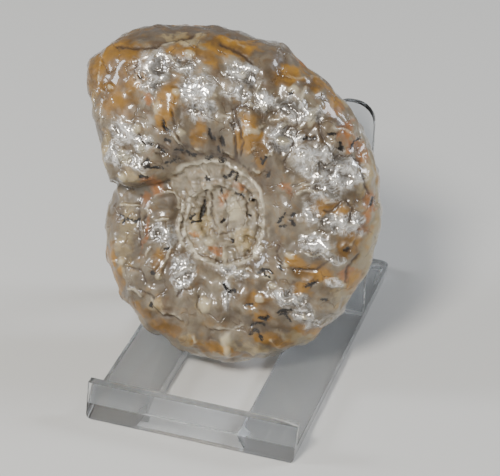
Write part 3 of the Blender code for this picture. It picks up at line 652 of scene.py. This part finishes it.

# %% [markdown]
# The patterns need edges. Honey, cream and rust soak in with ragged borders, so noise is added to
# each patch before its edge is drawn. The white flash of the varnish along the sharpest folds is
# painted into the colour as glint threads, drawn where a noise crosses its middle value. Creases,
# where one fold lies against the next, are the borders of a cell pattern, drawn only here and there.

# %% Ragged patches, threads and creases
# Each patch: how far noise shifts its edge, and the strengths at which it starts and is full.
RAGGED = {"cream": (0.4, 0.35, 0.9), "honey": (0.3, 0.05, 0.7), "rust": (0.3, 0.2, 1.0),
          "stroke": (0.5, 0.45, 0.75)}
ragged = {}
for name, (shift, start, full) in RAGGED.items():
    inputs = {"Value": noises[name].outputs["Fac"], "From Min": 0.3, "From Max": 0.7,
              "To Min": -shift, "To Max": shift}
    shifted = add_node(calcite, "ShaderNodeMapRange", None, inputs)
    inputs = {0: mask_of[name], 1: shifted.outputs["Result"]}
    edge = add_node(calcite, "ShaderNodeMath", {"operation": "ADD"}, inputs)
    ragged[name] = add_node(calcite, "ShaderNodeMapRange", None,
                            {"Value": edge.outputs[0], "From Min": start, "From Max": full}).outputs["Result"]

CREASE_CELL, CREASE_BEND = 4.2 * MM, 2.4 * MM
bent = add_node(calcite, "ShaderNodeVectorMath", {"operation": "MULTIPLY_ADD"},
                {0: noises["bend"].outputs["Color"], 1: (CREASE_BEND,) * 3, 2: place})
cells = add_node(calcite, "ShaderNodeTexVoronoi", {"feature": "DISTANCE_TO_EDGE"},
                 {"Scale": 1 / CREASE_CELL, "Vector": bent.outputs["Vector"]})
off_middle = add_node(calcite, "ShaderNodeMath", {"operation": "SUBTRACT"},
                      {0: noises["painted_glint"].outputs["Fac"], 1: 0.5})
ridge = add_node(calcite, "ShaderNodeMath", {"operation": "ABSOLUTE"}, {0: off_middle.outputs[0]})

# Each span: what is read, the two values it is read between, and what they become.
SPANS = {"drift": (noises["drift"].outputs["Fac"], 0.35, 0.65, 0, 1),
         "fleck": (noises["fleck"].outputs["Fac"], 0.50, 0.72, 0, 1),
         "brown": (noises["brown"].outputs["Fac"], 0.54, 0.70, 0, 1),
         "tone": (noises["tone"].outputs["Fac"], 0.42, 0.62, 0, 1),
         # The fold crests set how strong the painted sheen of the crumpled patches is.
         "fold": (mask_of["fold"], 0.1, 0.8, 0.35, 0.9),
         # Thin white threads of painted glint, where the noise is near its middle.
         "painted_glint": (ridge.outputs[0], 0.006, 0.055, 1, 0),
         "crease_line": (cells.outputs["Distance"], 0.01, 0.05, 1, 0),
         "crease_place": (noises["crease"].outputs["Fac"], 0.50, 0.60, 0, 1),
         "crack": (mask_of["crack"], 0.3, 0.9, 0, 1), "knob": (mask_of["knob"], 0.3, 0.8, 0, 1),
         "fold_line": (mask_of["fold_line"], 0.3, 0.9, 0, 1),
         "seam_line": (mask_of["seam_line"], 0.3, 0.9, 0, 1),
         "roughness": (mask_of["crumpled"], 0, 1, 0.40, 0.16)}
spans = {}
for name, (value, low, high, to_low, to_high) in SPANS.items():
    inputs = {"Value": value, "From Min": low, "From Max": high, "To Min": to_low, "To Max": to_high}
    spans[name] = add_node(calcite, "ShaderNodeMapRange", None, inputs).outputs["Result"]
product = {}
# The painted sheen on the crumpled crests, the painted glint threads, and the creases.
for name, first, second in (("painted_sheen", mask_of["crumpled"], spans["fold"]),
                            ("painted_glint", mask_of["crumpled"], spans["painted_glint"]),
                            ("crease", spans["crease_line"], spans["crease_place"])):
    node = add_node(calcite, "ShaderNodeMath", {"operation": "MULTIPLY"}, {0: first, 1: second})
    product[name] = node.outputs[0]

# %% [markdown]
# The colour is built up as a painter would: a grey-brown ground, flecks and brown stain, the
# darker top and the paler right of the rim, the stains, a painted sheen on the crumpled patches'
# crests with painted white glints, painted shade in the hollows, and last the lines, whose pale
# raised lines carry a painted highlight. Each layer is a hex colour, how much of it is laid on, and
# the pattern that says where.

# %% Lay on the calcite's colours
RGBA = {"data_type": "RGBA"}
ground = add_node(calcite, "ShaderNodeMix", RGBA, {0: spans["drift"], 6: "#6a5b47", 7: "#8d8370"})
honeys = add_node(calcite, "ShaderNodeMix", RGBA, {0: spans["tone"], 6: "#a9791a", 7: "#715018"})
LAYERS = (("#aa9873", 0.28, spans["fleck"]), ("#6f4b24", 0.50, spans["brown"]),
          ("#5c4f44", 0.80, mask_of["top_band"]), ("#a39470", 0.80, mask_of["right_band"]),
          ("#aba28f", 0.60, mask_of["crumb"]), ("#b9a577", 0.60, ragged["cream"]),
          (honeys.outputs[2], 0.92, ragged["honey"]), ("#a5662a", 0.80, ragged["rust"]),
          # Painted highlights: a near-white sheen on the crumpled crests and white glint threads.
          ("#e6e4df", 1.00, product["painted_sheen"]), ("#fcfbf9", 1.00, product["painted_glint"]),
          # Painted shade: dark brown in the hollows of the relief.
          ("#33261a", 0.70, mask_of["cavity_shade"]), ("#4d3925", 0.45, product["crease"]),
          ("#3b2a1b", 0.70, spans["crack"]), ("#bdb294", 0.70, spans["knob"]),
          # The pale raised lines are partly calcite and partly a painted highlight along their crests.
          ("#cfc6ae", 0.50, spans["fold_line"]), ("#d6ceb9", 0.85, spans["seam_line"]),
          ("#17100b", 1.00, ragged["stroke"]))
body = ground.outputs[2]
for colour, share, strength in LAYERS:
    multiplied = add_node(calcite, "ShaderNodeMath", {"operation": "MULTIPLY"}, {0: strength, 1: share})
    amount = multiplied.outputs[0]
    body = add_node(calcite, "ShaderNodeMix", RGBA, {0: amount, 6: body, 7: colour}).outputs[2]
calcite.node_tree.links.new(body, shader.inputs["Base Color"])
print("calcite colour has", len(LAYERS), "layers")

# %% [markdown]
# The varnish is a thin smooth coat over a rougher body, which is what makes the folds flash. The
# crumpled patches are also part metal, because light comes back from the cleaved calcite under
# the varnish as it does from foil. Wrinkles too fine for the mesh are a bump, strongest there.

# %% Varnish and fine wrinkles
FOIL = 0.55
foil = add_node(calcite, "ShaderNodeMath", {"operation": "MULTIPLY"}, {0: mask_of["crumpled"], 1: FOIL})
calcite.node_tree.links.new(foil.outputs[0], shader.inputs["Metallic"])
calcite.node_tree.links.new(spans["roughness"], shader.inputs["Roughness"])
for name, value in (("IOR", 1.5), ("Coat Weight", 0.9), ("Coat Roughness", 0.05), ("Coat IOR", 1.45),
                    ("Subsurface Weight", 0.1), ("Subsurface Radius", (1.0, 0.8, 0.55)),
                    ("Subsurface Scale", 1.5 * MM)):
    shader.inputs[name].default_value = value

# The bump's height: wrinkles where the stone is crumpled or crumbly, a ripple all over, and creases.
MULTIPLY_ADD = {"operation": "MULTIPLY_ADD"}
strength = 0.12
for name, share in (("crumpled", 0.9), ("crumb", 0.6)):
    node = add_node(calcite, "ShaderNodeMath", MULTIPLY_ADD, {0: mask_of[name], 1: share, 2: strength})
    strength = node.outputs[0]
total = 0.0
for value, share in ((noises["wrinkle"].outputs["Fac"], strength), (noises["ripple"].outputs["Fac"], 0.5),
                     (product["crease"], -0.35)):
    node = add_node(calcite, "ShaderNodeMath", MULTIPLY_ADD, {0: value, 1: share, 2: total})
    total = node.outputs[0]
bump = add_node(calcite, "ShaderNodeBump", None, {"Strength": 0.7, "Distance": 0.4 * MM, "Height": total})
for name in ("Normal", "Coat Normal"):
    calcite.node_tree.links.new(bump.outputs["Normal"], shader.inputs[name])
fossil.data.materials.clear()
fossil.data.materials.append(calcite)
print("calcite has", len(calcite.node_tree.nodes), "nodes")

# %% [markdown]
# The stand is one injection moulding in clear polystyrene. Its solid already has every face in
# place, so a copy of it is merged, its flat faces are joined up, and a bevel rounds every edge by
# a third of a millimetre, as a mould does. Those thin rounded edges are what shows of a clear
# thing: they gather light and draw the stand in bright lines. The pin that pushed it out of the
# mould left a small raised ring on the base's rear right corner, which is a torus joined on.

# %% The clear stand
STAND_EDGE = 0.32 * MM
RING_PLACE = CORNER + Vector((38.2, 74.5, 2.7)) * MM
RING_RADIUS, RING_THICK = 1.05 * MM, 0.22 * MM

deselect_all()
cad_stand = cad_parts["display_stand"]
cad_stand.select_set(True)
bpy.context.view_layer.objects.active = cad_stand
bpy.ops.object.duplicate()
stand = bpy.context.object
stand.name = "clear_easel"
bpy.ops.object.mode_set(mode="EDIT")
bpy.ops.mesh.select_all(action="SELECT")
bpy.ops.mesh.remove_doubles(threshold=1e-6)
bpy.ops.mesh.dissolve_limited(angle_limit=math.radians(1.0))
bpy.ops.object.mode_set(mode="OBJECT")
edge_bevel = stand.modifiers.new("mould_radius", "BEVEL")
edge_bevel.width = STAND_EDGE
edge_bevel.segments = 3
edge_bevel.limit_method = "ANGLE"
edge_bevel.angle_limit = math.radians(35)
bpy.ops.object.modifier_apply(modifier=edge_bevel.name)

bpy.ops.mesh.primitive_torus_add(major_radius=RING_RADIUS, minor_radius=RING_THICK, major_segments=40,
                                 minor_segments=10, location=RING_PLACE)
ring = bpy.context.object
deselect_all()
stand.select_set(True)
bpy.context.view_layer.objects.active = stand
join_ring = stand.modifiers.new("pin_mark", "BOOLEAN")
join_ring.operation = "UNION"
join_ring.solver = "EXACT"
join_ring.object = ring
bpy.ops.object.modifier_apply(modifier=join_ring.name)
bpy.data.objects.remove(ring)
bpy.ops.object.shade_smooth_by_angle(angle=math.radians(40))
finish_piece(stand, "display_stand")

# %% [markdown]
# Polystyrene is clear and hard, with a polished face from the mould and a faint waviness where it
# flowed. Plain transmission with its own index of refraction draws it. Its underside is rubbed
# satin by the tables it has stood on, and handling has left a few faint smears.

# %% Clear polystyrene
POLISHED, SMEARED, RUBBED = 0.03, 0.09, 0.45
FLOW_SIZE, SMEAR_SIZE = 6 * MM, 9 * MM
polystyrene, shader = new_material("clear polystyrene")
for name, value in (("Base Color", linear("#fafcfe")), ("IOR", 1.5), ("Transmission Weight", 1.0)):
    shader.inputs[name].default_value = value
place = add_node(polystyrene, "ShaderNodeTexCoord").outputs["Object"]
flow = add_node(polystyrene, "ShaderNodeTexNoise", None,
                {"Scale": 1 / FLOW_SIZE, "Detail": 3.0, "Vector": place})
smear = add_node(polystyrene, "ShaderNodeTexNoise", None,
                 {"Scale": 1 / SMEAR_SIZE, "Detail": 5.0, "Distortion": 1.0, "Vector": place})
height = add_node(polystyrene, "ShaderNodeSeparateXYZ", None, {"Vector": place})
satin = add_node(polystyrene, "ShaderNodeMapRange", None,
                 {"Value": height.outputs["Z"], "From Min": STAND_LOW.z + 0.02 * MM,
                  "From Max": STAND_LOW.z + 0.1 * MM, "To Min": RUBBED, "To Max": POLISHED})
haze = add_node(polystyrene, "ShaderNodeMapRange", None,
                {"Value": smear.outputs["Fac"], "From Min": 0.5, "From Max": 0.75,
                 "To Min": 0.0, "To Max": SMEARED})
roughness = add_node(polystyrene, "ShaderNodeMath", {"operation": "ADD"},
                     {0: satin.outputs["Result"], 1: haze.outputs["Result"]})
bump = add_node(polystyrene, "ShaderNodeBump", None,
                {"Strength": 0.12, "Distance": 0.1 * MM, "Height": flow.outputs["Fac"]})
polystyrene.node_tree.links.new(roughness.outputs[0], shader.inputs["Roughness"])
polystyrene.node_tree.links.new(bump.outputs["Normal"], shader.inputs["Normal"])
stand.data.materials.clear()
stand.data.materials.append(polystyrene)
print("polystyrene has", len(polystyrene.node_tree.nodes), "nodes")

# %% [markdown]
# The studio: a plain pale floor under an even grey sky. One soft light in front and above makes
# the varnish flash, one on the left models the folds, and one behind on the right draws the
# stand's edges. They are small and near, as a room's lamps are, so the highlights stay crisp.

# %% Floor and lights
deselect_all()
bpy.ops.mesh.primitive_plane_add(size=3.0, location=(0, 0, STAND_LOW.z - 0.05 * MM))
floor = bpy.context.object
floor.name = "floor"
# Matt uncoated paper, which gives no highlight of its own.
paper, shader = new_material("pale paper")
shader.inputs["Base Color"].default_value = linear("#d9d9d6")
shader.inputs["Roughness"].default_value = 0.9
floor.data.materials.append(paper)

SKY_STRENGTH = 0.32
world = bpy.data.worlds.new("studio")
world.use_nodes = True
world.node_tree.nodes["Background"].inputs["Color"].default_value = linear("#e4e4e2")
world.node_tree.nodes["Background"].inputs["Strength"].default_value = SKY_STRENGTH
bpy.context.scene.world = world
TARGET = CORNER + Vector((15, 30, 28)) * MM


def area_light(name, place, size, power, colour):
    data = bpy.data.lights.new(name, "AREA")
    data.shape = "DISK"
    data.size = size
    data.energy = power
    data.color = linear(colour)[:3]
    light = bpy.data.objects.new(name, data)
    bpy.context.scene.collection.objects.link(light)
    light.location = place
    light.rotation_euler = (TARGET - light.location).to_track_quat("-Z", "Y").to_euler()
    print(name, "light of", power, "watts")


area_light("window", Vector((-0.12, -0.72, 0.62)), 0.20, 8.2, "#fffaf2")
area_light("left", Vector((-0.75, -0.35, 0.40)), 0.25, 3.5, "#f4f8ff")
area_light("edge", Vector((0.6, 0.35, 0.5)), 0.30, 3.5, "#eef4ff")
